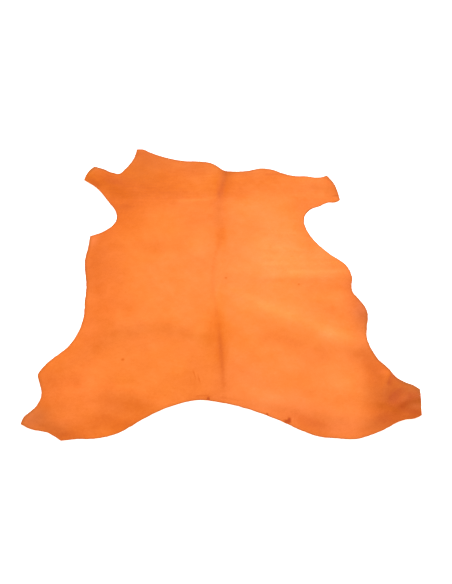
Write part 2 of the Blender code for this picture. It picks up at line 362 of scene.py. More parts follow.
def crease_relief(plan):
    """The finer creases, added up."""
    return MM * sum(bell_along(plan, *crease) for crease in CREASES.values())


def skin_heights(plan):
    """Heights of the flesh side and of the grain side over a plan."""
    creases = crease_relief(plan)
    settled = settled_height(plan)
    flesh = settled + FLESH_SHARE * np.maximum(creases, 0.0)
    grain = settled + LEATHER_THICKNESS + creases + buckling(plan)
    return flesh, grain


# How steeply a patch falls off: the power of its squared distance.
PATCH_FALL = 1.25

# Broad patches of painted light and shade, and of skin that took more dye or less: across,
# along, reach across, reach along (cm), turn (degrees), depth.
DYE_LIGHT_AND_SHADE_PATCHES = {
    # Painted sheen: the lamp's broad reflection across the right ribs, this line and the next.
    "right ribs, pale": (15.5, 3.0, 13.0, 19.0, 0, -0.26),
    "right ribs, palest": (15.0, 4.5, 8.5, 8.0, 0, -0.08),
    "right shoulder, pale": (8.5, 22.5, 6.5, 5.0, 0, -0.13),
    "right haunch, pale": (15.0, -28.0, 17.0, 13.0, 0, -0.12),
    "right of the backbone, pale": (6.0, -2.0, 8.0, 5.0, 0, -0.08),
    "right loin, pale": (6.5, -13.0, 6.0, 5.0, 0, -0.09),
    # Painted light on the far side at the end of the right haunch ridge.
    "end of the haunch ridge, pale": (24.6, -22.2, 4.8, 2.3, -22, -0.13),
    "right rump, pale": (7.0, -38.0, 4.0, 3.0, 0, -0.09),
    "right haunch, palest": (24.0, -33.4, 4.6, 5.0, 0, -0.07),
    "right thigh, dull": (30.2, -40.6, 2.0, 3.4, 0, 0.07),
    "left ribs, pale": (-11.0, -6.0, 13.0, 20.0, 0, -0.12),
    "left haunch, pale": (-15.0, -31.0, 9.0, 5.0, 0, -0.05),
    "left hock, pale": (-27.0, -32.5, 2.6, 2.6, 0, -0.13),
    # Painted shade on the neck strip where it climbs from its bend, this line and the next.
    "neck strip, dull": (0.0, 34.0, 26.0, 6.0, 0, 0.05),
    "right of the neck, dull": (5.0, 35.0, 7.0, 7.0, 0, 0.09),
    "shoulder under the bend, left": (-16.0, 26.5, 9.0, 3.6, 0, 0.10),
    "shoulder under the bend, right": (21.5, 24.0, 5.0, 3.4, 0, 0.13),
    "behind the right foreleg": (20.5, 12.0, 2.6, 8.0, 0, 0.20),
    "left shoulder, small cloud": (-17.5, 7.6, 3.4, 2.4, 0, 0.14),
    "left ribs, small cloud": (-23.5, -12.5, 4.0, 3.0, 0, 0.13),
    "left of the backbone, dull": (-6.0, 20.0, 3.0, 4.0, 0, 0.06),
    "left flank": (-31.0, 1.0, 6.5, 21.0, 0, 0.18),
    "left shoulder": (-27.5, 24.0, 7.5, 11.0, 0, 0.25),
    "left foreleg": (-32.0, 36.0, 6.5, 5.0, -30, 0.22),
    "neck corner": (-22.0, 42.0, 7.0, 6.0, 0, 0.20),
    "left of the neck strip": (-19.6, 32.6, 8.4, 5.0, 0, 0.17),
    "right foreleg": (29.0, 31.0, 2.0, 6.0, 0, 0.10),
    "right foreleg, inner side": (24.5, 27.6, 4.6, 2.0, 0, -0.08),
    "right flank rim": (31.5, -12.0, 3.0, 13.0, 0, 0.20),
    "right flank bulge": (31.6, -13.8, 1.6, 3.6, 0, 0.10),
    "right flank, dull": (22.5, -13.5, 3.4, 2.6, -20, 0.09),
    "above the right hock": (31.0, -30.0, 2.6, 4.5, 0, 0.14),
    # The right hind leg's darkness, this line and the next, is partly painted shade of the lifted leg
    # and partly darker dye.
    "right hind shank": (34.0, -36.0, 4.5, 12.0, -12, 0.22),
    "right hind leg": (39.5, -40.0, 7.0, 9.0, 0, 0.38),
    "under the right hock": (32.0, -44.5, 3.6, 2.2, 20, 0.16),
    "right rump rim": (16.6, -44.4, 4.4, 1.8, -24, 0.20),
    "right rump rim, spot": (19.4, -45.0, 2.2, 1.1, -12, 0.10),
    "left rump rim": (-20.0, -45.5, 9.0, 2.2, -25, 0.22),
    "left rump": (-21.5, -38.8, 5.0, 2.6, 0, 0.13),
    "left hind leg": (-31.4, -47.6, 5.0, 2.0, -20, 0.22),
    "left hip rim": (-36.0, -36.0, 4.0, 9.0, 0, 0.09),
    "left hind tip": (-38.0, -43.8, 3.6, 2.8, 0, 0.15),
    "left hind tip, under": (-35.0, -45.2, 2.4, 1.2, -15, 0.04),
    "left hind sole": (-33.0, -45.6, 3.6, 1.6, -20, 0.04),
    "left foot, inner side": (-27.5, -45.2, 3.6, 1.4, 0, 0.08),
    "left hock, dull": (-36.4, -39.8, 1.4, 2.2, 0, 0.08),
    "left foreleg tip, pale": (-36.0, 36.2, 1.4, 1.4, 0, -0.10),
    "behind the left foreleg": (-34.8, 32.7, 3.0, 1.0, -45, 0.22),
    "neck, left of the crease": (-9.5, 37.8, 6.5, 3.0, -6, 0.11),
    # Painted shade in the neck crease, along it and at its foot and top, this line and the next two.
    "neck crease, wide": (0.2, 33.4, 2.0, 7.0, -14, 0.12),
    "foot of the neck crease": (-0.5, 27.6, 1.8, 2.0, 0, 0.12),
    "top of the neck crease": (0.8, 37.0, 2.2, 1.2, 0, 0.12),
    "left of the neck crease, pale": (-3.8, 34.2, 1.5, 2.4, 0, -0.09),
    "right of the neck crease, pale": (4.2, 34.2, 2.2, 1.6, 0, -0.09),
    "under the neck crease": (-1.2, 24.0, 0.9, 3.6, 0, 0.05),
    "hock, pale": (36.2, -38.7, 1.3, 1.2, 0, -0.08),
    "right hind end, pale": (38.8, -41.1, 1.5, 0.6, -8, -0.22),
    "right hind end, brown": (39.0, -38.7, 1.5, 1.8, 0, 0.17),
    "right hind end, under": (39.0, -42.6, 1.8, 0.6, 0, 0.10),
    "hock, lower": (31.8, -43.3, 1.7, 1.5, 0, 0.13),
    # Painted shade in the hock's fold.
    "hock fold, broad": (34.2, -38.2, 2.3, 2.6, 0, 0.15),
    "shank at the rim": (36.2, -33.0, 1.7, 0.9, -50, 0.24),
    "left arch spot": (-24.0, -20.8, 1.4, 0.9, 0, 0.03),
    "middle arch spot": (-12.5, -19.2, 1.6, 0.9, 0, 0.06),
    "left thigh cloud": (-30.8, -33.8, 1.8, 2.2, 0, 0.06),
    "loin pale spot": (13.1, -30.1, 3.0, 2.4, 0, -0.05),
    "haunch pale spot": (24.5, -34.6, 2.6, 2.2, 0, -0.07),
    "break in the haunch ridge": (17.6, -17.2, 2.6, 1.5, -25, 0.06),
    "haunch, dull cloud": (15.2, -23.0, 2.6, 1.5, -20, 0.06),
    "start of the haunch ridge": (5.6, -10.4, 4.5, 1.6, -25, 0.06),
    # Painted shade below the end of the right haunch ridge.
    "below the end of the haunch ridge": (28.8, -25.6, 2.6, 4.6, 20, 0.12),
    "left rump, towards the rim": (-18.0, -41.2, 5.0, 1.8, 12, 0.12),
    "shoulder dark spot": (-25.5, 23.2, 2.4, 1.2, 0, 0.12),
    "foreleg dark spot": (-29.0, 32.8, 2.8, 1.2, -10, 0.12),
    "left elbow, pale": (-32.0, 10.0, 1.4, 3.4, 0, -0.15),
    "left of the backbone, pale": (-5.8, 9.5, 2.4, 5.0, 0, -0.11),
    "left of the backbone, cloud": (-10.0, 10.0, 1.8, 2.4, 0, 0.06),
    "right ribs, upper pale": (9.5, 8.5, 2.8, 3.6, 0, -0.08),
    "right flank, pale": (26.5, -9.0, 2.8, 3.0, 0, -0.06),
    "left flank, pale": (-30.4, -10.5, 1.8, 5.0, 0, -0.09),
    "left ribs, cloud": (-25.5, -2.5, 3.0, 3.0, 0, 0.06),
    "left thigh, pale": (-26.5, -41.6, 4.4, 1.6, 0, -0.10),
    "left rump corner": (-17.5, -43.9, 2.6, 1.2, 30, 0.13),
    "left foot": (-29.0, -47.5, 5.0, 1.6, 0, 0.14),
    "right rump, small pale": (9.0, -38.5, 2.4, 1.8, 0, -0.09),
    "right thigh, pale": (24.8, -42.5, 3.2, 2.6, 0, -0.09),
    "right foot rim": (18.5, -47.6, 3.4, 1.2, -10, 0.12),
    "right foot, outer side": (28.4, -46.2, 2.6, 1.5, 25, 0.09),
    # Painted light along the far side of the right haunch ridge.
    "diagonal, pale": (13.5, -13.0, 5.5, 2.6, -28, -0.07),
    "backbone between the shoulders": (-0.7, 11.6, 1.3, 3.6, 0, 0.11),
    "backbone at the loin": (-0.6, -25.6, 0.8, 8.4, 4, 0.11),
    "crease at the loin": (-0.5, -26.8, 0.42, 8.0, 3.5, 0.14),
    "backbone at the loin, wide": (-0.7, -24.0, 2.0, 9.5, 5, 0.14),
    "loin, soft": (-1.6, -19.0, 3.8, 9.0, 0, 0.07),
    "left of the loin": (-3.2, -19.4, 1.8, 6.4, 0, 0.08),
    "left of the loin, pale": (-5.0, -19.8, 1.9, 2.0, 0, -0.08),
    "backbone at the rump": (-0.4, -35.6, 1.1, 5.0, 0, 0.05),
    "loin, left of the backbone": (-6.6, -32.0, 2.0, 4.4, 0, 0.10),
    "rump rim at the backbone": (-3.6, -38.8, 3.6, 1.6, 0, 0.16),
}

# Darker and paler lines, in the same words as the folds but with a depth: darker dye along the
# backbone and at the rims, and elsewhere painted shade in creases and under ridges and painted light on
# their lit sides.
DYE_LIGHT_AND_SHADE_LINES = {
    "backbone at the neck": ((0.6, 39.0), (0.0, 34.0), (-1.2, 28.2), 0.17, 0.8, 0.9),
    "backbone at the shoulders": ((-1.6, 26.0), (-1.2, 18.0), (-1.1, 10.6), 0.10, 1.8, 1.8),
    "backbone at the ribs": ((-1.2, 9.0), (-2.6, -2.0), (-1.5, -15.0), 0.10, 0.6, 0.6),
    # Painted light on the far side of the right haunch ridge.
    "above the right haunch ridge": ((1.0, -12.0), (14.0, -15.5), (28.0, -23.0), -0.13, 4.0, 2.6),
    # Painted shadow under the left haunch arch.
    "under the left arch": ((-29.0, -24.2), (-19.0, -20.4), (-9.0, -21.0), 0.06, 2.6, 2.8),
    # Painted shade under the right haunch ridge.
    "under the right haunch ridge": ((10.0, -21.6), (16.0, -23.9), (21.0, -26.4), 0.14, 2.0, 2.6),
    # Painted shade on the climbing neck strip above its bend, and a painted highlight along the bend
    # below it.
    "above the neck bend": ((-17.0, 26.6), (-6.0, 26.4), (3.0, 26.5), 0.06, 5.0, 0.35),
    "below the neck bend": ((-11.0, 25.4), (-5.5, 26.2), (-2.6, 26.8), -0.11, 0.9, 0.8),
    "neck rim": ((-25.0, 46.6), (-13.0, 42.6), (-4.0, 41.4), 0.12, 1.2, 1.8),
    # Painted shade in a crease at the neck rim.
    "neck rim crease": ((11.5, 36.3), (14.0, 36.4), (16.5, 36.3), 0.16, 0.35, 0.4),
    # Painted shade in the right hind leg's creases and folds, with a painted highlight on the facet
    # beside the shank crease.
    "shank crease": ((35.2, -31.5), (34.5, -33.1), (33.8, -34.8), 0.24, 0.8, 0.12),
    "beside the shank crease": ((34.5, -31.4), (33.6, -33.2), (32.8, -35.4), -0.08, 0.4, 0.9),
    "shank fold": ((36.2, -36.6), (34.9, -37.4), (33.7, -38.9), 0.12, 1.2, 0.5),
    "hock crease": ((37.9, -38.2), (37.2, -40.0), (36.0, -41.0), 0.12, 0.35, 0.8),
    "hock fork": ((35.6, -41.2), (37.0, -41.8), (38.4, -42.3), 0.09, 0.35, 0.6),
    # Painted highlight above the right shoulder ridge and painted shade under it.
    "shoulder streak, pale": ((16.0, -1.4), (22.0, -1.2), (28.5, -1.0), -0.12, 0.8, 0.8),
    "under the shoulder ridge": ((17.0, -5.6), (23.0, -5.9), (31.0, -5.5), 0.13, 1.6, 2.2),
    "rump rim line": ((-5.4, -37.9), (-4.2, -37.7), (-2.8, -38.0), 0.16, 0.22, 0.22),
    "right rump rim line": ((-0.4, -38.2), (1.2, -38.5), (3.0, -39.0), 0.12, 0.3, 0.3),
}

# How far the dye leans from yellow to pink and dull, in the same words.
PINK_PATCHES = {
    "left side": (-12.0, -10.0, 18.0, 24.0, 0, 0.14),
    "left flank": (-31.5, -5.0, 4.2, 22.0, 0, 0.24),
    "left haunch": (-27.0, -24.0, 8.0, 9.0, 0, 0.12),
    "left hind leg": (-34.0, -39.0, 12.0, 9.0, 0, 0.36),
    "left hind tip": (-38.2, -43.6, 3.0, 2.6, 0, 0.70),
    "left hind sole": (-33.0, -45.6, 3.0, 2.0, 0, 0.25),
    "left rump rim": (-12.0, -41.5, 9.0, 3.0, 0, 0.10),
    "right rump rim": (12.0, -43.0, 14.0, 5.0, -6, 0.45),
    "right hind leg, lower rim": (28.0, -46.0, 8.0, 4.0, 0, 0.30),
    "right haunch": (18.0, -32.0, 18.0, 10.0, 0, 0.24),
    "right flank rim": (31.5, -14.0, 3.4, 15.0, 0, 0.36),
    "right flank bulge": (31.6, -14.0, 1.8, 3.6, 0, 0.50),
    "right flank": (26.0, -8.0, 8.0, 18.0, 0, 0.12),
    "rump at the backbone": (2.5, -35.0, 6.0, 6.0, 0, 0.22),
    "loin": (-1.5, -20.0, 2.6, 8.0, 0, -0.40),
    "right hind end": (38.0, -41.2, 3.2, 2.4, 0, 0.40),
    "hock": (36.2, -38.7, 1.4, 1.3, 0, 0.35),
    "shank": (35.2, -35.0, 2.6, 3.6, -10, -0.30),
    "right hind end, pale": (38.8, -41.1, 1.8, 0.8, -8, 0.60),
    "left elbow": (-32.0, 10.5, 1.6, 3.0, 0, 0.50),
    "right ribs": (3.0, 8.0, 14.0, 18.0, 0, 0.16),
    "neck, left": (-22.0, 33.0, 9.0, 6.0, 0, -0.50),
    "neck, middle": (0.0, 32.0, 14.0, 5.0, 0, -0.24),
    "neck crease": (0.2, 34.6, 2.2, 6.6, -12, -0.70),
    "between the shoulders": (-0.7, 11.6, 1.8, 3.8, 0, -0.45),
    "right shoulder": (14.0, 35.0, 9.0, 4.0, 0, -0.14),
    "left foreleg": (-31.0, 36.0, 5.0, 4.0, 0, -0.35),
    "left shoulder": (-27.0, 22.0, 5.0, 8.0, 0, -0.22),
    "left ribs": (-18.0, 13.0, 10.0, 8.0, 0, -0.10),
}

# How far the dye leans to olive brown, or to red where it is negative, in the same words.
BROWN_PATCHES = {
    "neck crease": (0.6, 35.8, 2.2, 4.4, -14, 0.12),
    "under the neck crease": (-1.2, 20.0, 1.6, 5.0, 0, 0.05),
    "left of the neck": (-23.0, 37.0, 7.0, 6.0, 0, 0.11),
    "left foreleg tip": (-35.5, 37.5, 3.0, 2.5, 0, 0.12),
    "neck rim": (-12.0, 41.0, 12.0, 3.0, -8, 0.07),
    "neck rim, right": (4.0, 38.2, 9.0, 2.2, 0, 0.06),
    "left hind sole": (-33.5, -45.8, 4.0, 1.8, -15, 0.10),
    "left haunch": (-30.0, -34.0, 6.0, 9.0, 0, -0.07),
    "left hind tip": (-37.8, -42.6, 3.6, 3.0, 0, 0.17),
    "left thigh": (-28.0, -41.0, 6.0, 3.0, 0, -0.04),
    "left flank": (-28.0, -12.0, 4.0, 9.0, 0, -0.05),
    "right flank bulge": (30.8, -19.0, 2.4, 6.0, 0, 0.08),
    "right hock": (31.0, -37.5, 3.0, 3.0, 0, 0.09),
    "right hind leg, upper rim": (38.5, -36.0, 3.0, 1.6, -30, 0.14),
    "under the right hock": (30.0, -45.2, 3.0, 1.8, 0, 0.09),
    "right hind end": (39.2, -38.4, 2.4, 2.4, 0, 0.15),
    "shank": (35.4, -35.4, 2.8, 3.6, -20, 0.12),
    "right rump rim": (16.0, -43.6, 4.4, 2.0, -24, -0.07),
}

# Where the neck's long fine wrinkles run: the same words as the patches.
WRINKLED = {
    "neck strip": (-4.0, 32.0, 36.0, 10.0, 0, 1.0),
    "left shoulder": (-26.0, 22.0, 9.0, 14.0, 0, 0.8),
    "right flank": (20.0, 8.0, 12.0, 9.0, 0, 0.6),
    "right hind leg": (36.0, -40.0, 8.0, 8.0, 0, 0.7),
    "left hind leg": (-32.0, -43.0, 10.0, 6.0, 0, 0.7),
}

# How much deeper the dye lies along the cut, and how far in that reaches.
RIM_DEPTHS = {
    "all of it": (0.0, 0.0, 90.0, 90.0, 0, 0.12),
    "neck": (2.0, 39.0, 28.0, 6.0, 0, 0.27),
    "left foreleg": (-34.0, 37.8, 5.0, 2.4, -15, 0.36),
    "right foreleg end": (29.5, 31.0, 3.0, 7.0, 0, 0.20),
    "right flank": (32.0, -17.0, 4.0, 10.0, 0, 0.16),
    "right hind shank": (34.5, -30.0, 3.0, 5.0, 20, 0.22),
    "right hind leg": (38.5, -35.0, 4.0, 3.0, -30, 0.42),
    "left hind tip": (-40.0, -43.0, 2.4, 3.2, 0, 0.30),
    "left flank": (-33.0, 0.0, 4.0, 18.0, 0, 0.18),
    "left hip": (-38.0, -31.0, 3.0, 5.0, 0, 0.15),
}
RIM_REACH = 4.2 * MM
RIM_RINGS = 5

# How far the cut wanders: sine waves along the rim, and their usual height.
CUT_SEED = 23
CUT_WAVES = 60
CUT_WAVE_LENGTHS = (5 * MM, 40 * MM)
CUT_WANDER = 0.18 * MM


def patch(plan, across, along, reach_across, reach_along, turn, depth):
    """A soft ellipse: its depth times exp(-r to the power 2.5), r being the distance in reaches."""
    offset = plan - np.array([across, along]) * CM
    cosine, sine = math.cos(math.radians(turn)), math.sin(math.radians(turn))
    run = (offset[..., 0] * cosine + offset[..., 1] * sine) / (reach_across * CM)
    rise = (offset[..., 1] * cosine - offset[..., 0] * sine) / (reach_along * CM)
    return depth * np.exp(-(run**2 + rise**2) ** PATCH_FALL)


def patched(plan, patches):
    """The patches, added up."""
    return sum(patch(plan, *values) for values in patches.values())


def rim_closeness(plan, cut):
    """1 at the cut and 0 well inside, from the distance to the nearest place on the cut."""
    close = np.zeros(plan.shape[:2])
    whole = slice(None)
    for ring in range(RIM_RINGS):
        for line in ((ring, whole), (-1 - ring, whole), (whole, ring), (whole, -1 - ring)):
            offset = plan[line][:, None] - cut[None]
            nearest = np.sqrt((offset**2).sum(axis=-1).min(axis=1))
            close[line] = np.maximum(close[line], np.exp(-((nearest / RIM_REACH) ** 2)))
    return close


def cut_wander(ring):
    """How far the cut strays outwards: many sine waves along the closed rim, added up."""
    chance = np.random.default_rng(CUT_SEED)
    along = walked(ring)
    length = along[-1] + np.linalg.norm(ring[0] - ring[-1])
    turns = np.rint(length / chance.uniform(*CUT_WAVE_LENGTHS, CUT_WAVES))
    start = chance.uniform(0.0, 2 * math.pi, CUT_WAVES)
    phase = 2 * math.pi * along[:, None] / length * turns + start
    return CUT_WANDER * np.sin(phase).sum(axis=1) / math.sqrt(CUT_WAVES / 2)


def dye_and_shade_depth(plan):
    """The patches and lines of dye and of painted light and shade, added up."""
    lines = sum(bell_along(plan, *values) for values in DYE_LIGHT_AND_SHADE_LINES.values())
    return patched(plan, DYE_LIGHT_AND_SHADE_PATCHES) + lines


def ring_numbers(rows, columns):
    """A grid's rim as vertex numbers, anticlockwise from its first corner."""
    number = np.arange(rows * columns).reshape(rows, columns)
    return np.concatenate([number[0, :-1], number[:-1, -1], number[-1, :0:-1], number[:0:-1, 0]])


def outwards(ring):
    """Unit vectors pointing out of an anticlockwise ring of places, square to its run."""
    run = np.roll(ring, -1, axis=0) - np.roll(ring, 1, axis=0)
    run = run / np.linalg.norm(run, axis=1, keepdims=True)
    return np.stack([run[:, 1], -run[:, 0]], axis=1)


def grid_faces(number):
    """Quads of a grid of vertex numbers, facing up where its rows run to +Y and columns to +X."""
    corners = number[:-1, :-1], number[:-1, 1:], number[1:, 1:], number[1:, :-1]
    return np.stack([corner.ravel() for corner in corners], axis=1)


def write_looks(mesh, skin, close, through):
    """What the materials read at each vertex: its level in the cut edge, and its dye with the light and
    shade painted into it.
    """
    looks = {
        "through": through,
        "rim_depth": close * patched(skin, RIM_DEPTHS),
        "dye_and_shade_depth": dye_and_shade_depth(skin),
        "pinkness": patched(skin, PINK_PATCHES),
        "brownness": patched(skin, BROWN_PATCHES),
        "wrinkled": patched(skin, WRINKLED),
    }
    for name, values in looks.items():
        mesh.attributes.new(name, "FLOAT", "POINT").data.foreach_set("value", values.astype(np.float32))


# Which material each side takes, in the order in which the hide gets them.
GRAIN_SLOT, EDGE_SLOT, FLESH_SLOT = 0, 1, 2


def make_hide():
    """The skin as one closed shell: grain side, rounded cut edge and flesh side.

    Gives the hide, and where the skin's mark lies once the mesh is centred.
    """
    plan = fine_grid()
    rows, columns = plan.shape[:2]
    ring = ring_numbers(rows, columns)
    cut = plan.reshape(-1, 2)[ring]
    out = outwards(cut)
    cut = cut + out * cut_wander(cut)[:, None]
    inset, _ = EDGE_PROFILE[0]
    plan.reshape(-1, 2)[ring] = cut + out * inset * MM
    flesh_height, grain_height = skin_heights(plan)
    grain = np.dstack([plan, grain_height]).reshape(-1, 3)

    flesh_plan = plan[::FLESH_STRIDE, ::FLESH_STRIDE]
    flesh = np.dstack([flesh_plan, flesh_height[::FLESH_STRIDE, ::FLESH_STRIDE]]).reshape(-1, 3)

    low, high = flesh_height.ravel()[ring], grain_height.ravel()[ring]
    edge = [
        np.column_stack([cut + out * step * MM, low + (high - low) * share])
        for step, share in EDGE_PROFILE[1:-1]
    ]
    edge_rows = len(edge)
    points = np.vstack([grain, *edge, flesh])

    round_count = len(ring)
    first_edge = len(grain)
    first_flesh = first_edge + edge_rows * round_count
    edge_number = first_edge + np.arange(edge_rows * round_count).reshape(edge_rows, round_count)
    loops = np.vstack([ring, edge_number])
    onward = np.roll(loops, -1, axis=1)
    edge_quads = np.stack([loops[:-1], loops[1:], onward[1:], onward[:-1]], axis=2).reshape(-1, 4)

    flesh_number = np.arange(len(flesh)).reshape(flesh_plan.shape[:2])
    flesh_ring = first_flesh + ring_numbers(*flesh_plan.shape[:2])
    last = edge_number[-1].reshape(-1, FLESH_STRIDE)
    closing = np.column_stack([last, np.roll(last[:, 0], -1), np.roll(flesh_ring, -1), flesh_ring])

    grain_quads = grid_faces(np.arange(len(grain)).reshape(rows, columns))
    flesh_quads = first_flesh + grid_faces(flesh_number)[:, ::-1]
    middle = (points.min(axis=0) + points.max(axis=0)) / 2
    points[:, :2] -= middle[:2]

    mesh = bpy.data.meshes.new("hide skin")
    sides = grain_quads, edge_quads, closing[:, ::-1], flesh_quads
    mesh.from_pydata(points.tolist(), [], [face for side in sides for face in side.tolist()])
    counts = [len(side) for side in sides]
    finishes = np.repeat([GRAIN_SLOT, EDGE_SLOT, EDGE_SLOT, FLESH_SLOT], counts)
    mesh.polygons.foreach_set("material_index", finishes.astype(np.int32))
    mesh.polygons.foreach_set("use_smooth", np.ones(sum(counts), bool))
    mesh.update()
    edge_shares = np.repeat([share for _, share in EDGE_PROFILE[1:-1]], round_count)
    through = np.concatenate([np.ones(len(grain)), edge_shares, np.zeros(len(flesh))])
    skin = points[:, :2] + middle[:2]
    close = rim_closeness(plan, cut).ravel()
    close = np.concatenate([close, np.ones(len(edge_shares)), np.zeros(len(flesh))])
    write_looks(mesh, skin, close, through)
    hide = bpy.data.objects.new("hide_skin", mesh)
    bpy.context.collection.objects.link(hide)
    return hide, middle[:2]


def put(tree, kind, inputs=None, **settings):
    """A new node with its settings; each input is a number or another node's socket."""
    made = tree.nodes.new(kind)
    for name, value in settings.items():
        setattr(made, name, value)
    for name, value in (inputs or {}).items():
        if isinstance(value, bpy.types.NodeSocket):
            tree.links.new(value, made.inputs[name])
        else:
            made.inputs[name].default_value = value
    return made


def maths(tree, operation, *values):
    """A sum, product or other calculation on numbers and sockets."""
    return put(tree, "ShaderNodeMath", dict(enumerate(values)), operation=operation).outputs[0]


def vector_maths(tree, operation, *values):
    """A calculation on places, directions and sockets that hold them."""
    return put(tree, "ShaderNodeVectorMath", dict(enumerate(values)), operation=operation).outputs[0]


def noise(tree, place, size, detail, roughness, distortion=0.0):
    """Cloudy noise from -1 to 1, whose largest patches are size metres across."""
    scale = maths(tree, "DIVIDE", 1.0, size)
    made = put(
        tree, "ShaderNodeTexNoise",
        {"Vector": place, "Scale": scale, "Detail": detail, "Roughness": roughness,
         "Distortion": distortion},
    )
    return maths(tree, "MULTIPLY_ADD", made.outputs["Fac"], 2.0, -1.0)


def plus(tree, base, value, share):
    """A base with a share of a value added; each is a number or a socket."""
    return maths(tree, "MULTIPLY_ADD", value, share, base)


def between(tree, value, low, high, to_low=0.0, to_high=1.0):
    """A value eased from one range to another."""
    made = put(
        tree, "ShaderNodeMapRange",
        {"Value": value, "From Min": low, "From Max": high, "To Min": to_low, "To Max": to_high},
        interpolation_type="SMOOTHSTEP",
    )
    return made.outputs["Result"]


def drawn_out(tree, place, turn, squeeze):
    """A place turned and squeezed, so that a pattern read there is drawn out along one way."""
    settings = {"Vector": place, "Rotation": (0, 0, turn), "Scale": squeeze}
    return put(tree, "ShaderNodeMapping", settings).outputs[0]


def cell_edges(tree, place, scale):
    """The distance to the nearest edge between random cells."""
    settings = {"Vector": place, "Scale": scale, "Randomness": 1.0}
    made = put(tree, "ShaderNodeTexVoronoi", settings, feature="DISTANCE_TO_EDGE")
    return made.outputs["Distance"]


def new_group(name, inputs, outputs):
    """An empty node group with its sockets; gives the tree, what comes in and what goes out."""
    tree = bpy.data.node_groups.new(name, "ShaderNodeTree")
    for label, kind, value in inputs:
        socket = tree.interface.new_socket(label, in_out="INPUT", socket_type=kind)
        socket.default_value = value
    for label, kind in outputs:
        tree.interface.new_socket(label, in_out="OUTPUT", socket_type=kind)
    return tree, tree.nodes.new("NodeGroupInput").outputs, tree.nodes.new("NodeGroupOutput").inputs


FLOAT = "NodeSocketFloat"
VECTOR = "NodeSocketVector"


def mottle_group():
    """Uneven uptake of the dye: clouds with ever smaller clouds in them."""
    tree, given, out = new_group(
        "dye mottle", [("Place", VECTOR, (0, 0, 0)), ("Size", FLOAT, 0.04)], [("Shade", FLOAT)],
    )
    clouds = noise(tree, given["Place"], given["Size"], detail=6.0, roughness=0.72, distortion=0.15)
    tree.links.new(clouds, out["Shade"])
    return tree


# How far the grain's furrows waver, in cells, and how often the wavering and the longer
# wrinkles repeat, as a share of how often the cells do.
WAVER_REACH = 1.6
WAVER_RATE = 0.4
WRINKLE_RATE = 0.28
# The soft side of a furrow and of a wrinkle, as a share of its own cell, and the share of
# the height that the pebbles make.
FURROW_SIDE = 0.28
WRINKLE_SIDE = 0.10
PEBBLE_SHARE = 0.6


def pebble_group():
    """Pebbled grain: rounded cells between thin furrows, crossed by longer wrinkles."""
    tree, given, out = new_group(
        "pebbled grain",
        [("Place", VECTOR, (0, 0, 0)), ("Cell", FLOAT, 0.0012)],
        [("Height", FLOAT), ("Furrow", FLOAT)],
    )
    place, cell = given["Place"], given["Cell"]
    scale = maths(tree, "DIVIDE", 1.0, cell)
    waver_scale = maths(tree, "MULTIPLY", scale, WAVER_RATE)
    waver = put(tree, "ShaderNodeTexNoise", {"Vector": place, "Scale": waver_scale})
    shift = vector_maths(tree, "SUBTRACT", waver.outputs["Color"], (0.5, 0.5, 0.5))
    reach = maths(tree, "MULTIPLY", cell, WAVER_REACH)
    shift = put(tree, "ShaderNodeVectorMath", {0: shift, "Scale": reach}, operation="SCALE").outputs[0]
    bent = vector_maths(tree, "ADD", place, shift)
    cells = cell_edges(tree, bent, scale)
    big_cells = cell_edges(tree, bent, maths(tree, "MULTIPLY", scale, WRINKLE_RATE))
    pebble = between(tree, cells, 0.0, FURROW_SIDE)
    wrinkle = between(tree, big_cells, 0.0, WRINKLE_SIDE)
    height = plus(tree, maths(tree, "MULTIPLY", pebble, PEBBLE_SHARE), wrinkle, 1.0 - PEBBLE_SHARE)
    furrow = maths(tree, "SUBTRACT", 1.0, maths(tree, "MULTIPLY", pebble, wrinkle))
    tree.links.new(height, out["Height"])
    tree.links.new(furrow, out["Furrow"])
    return tree


# The two ways in which the nap lies: turn in radians, and how far it is drawn out.
NAP_WAYS = ((0.5, 0.22), (-1.1, 0.3))
# A tuft's size in fibres, and what a fibre and a tuft add to the shade.
TUFT_SIZE = 12.0
FIBRE_SHADE = 0.5
TUFT_SHADE = 0.7


def nap_group():
    """Raised fibres: fine noise drawn out one way and another, in tufts."""
    tree, given, out = new_group(
        "napped fibre",
        [("Place", VECTOR, (0, 0, 0)), ("Fibre", FLOAT, 0.0006)],
        [("Height", FLOAT), ("Shade", FLOAT)],
    )
    place, fibre = given["Place"], given["Fibre"]
    first, second = (
        noise(
            tree, drawn_out(tree, place, turn, (1.0, squeeze, 1.0)), fibre,
            detail=3.0, roughness=0.7, distortion=1.2,
        )
        for turn, squeeze in NAP_WAYS
    )
    tufts = noise(tree, place, maths(tree, "MULTIPLY", fibre, TUFT_SIZE), detail=3.0, roughness=0.6)
    height = maths(tree, "MAXIMUM", first, second)
    shade = plus(tree, maths(tree, "MULTIPLY", height, FIBRE_SHADE), tufts, TUFT_SHADE)
    tree.links.new(height, out["Height"])
    tree.links.new(shade, out["Shade"])
    return tree


def spot_group():
    """One mark on the skin: 1 at its middle and 0 from its reach outwards, in a turned ellipse."""
    tree, given, out = new_group(
        "mark on the skin",
        [("Place", VECTOR, (0, 0, 0)), ("Middle", VECTOR, (0, 0, 0)), ("Reach", VECTOR, (0.01, 0.01, 1)),
         ("Turn", FLOAT, 0.0)],
        [("Mask", FLOAT)],
    )
    offset = vector_maths(tree, "SUBTRACT", given["Place"], given["Middle"])
    turned = put(
        tree, "ShaderNodeVectorRotate", {"Vector": offset, "Angle": given["Turn"]},
        rotation_type="Z_AXIS",
    ).outputs[0]
    scaled = vector_maths(tree, "DIVIDE", turned, given["Reach"])
    length = put(tree, "ShaderNodeVectorMath", {0: scaled}, operation="LENGTH").outputs["Value"]
    tree.links.new(between(tree, length, 0.0, 1.0, 1.0, 0.0), out["Mask"])
    return tree


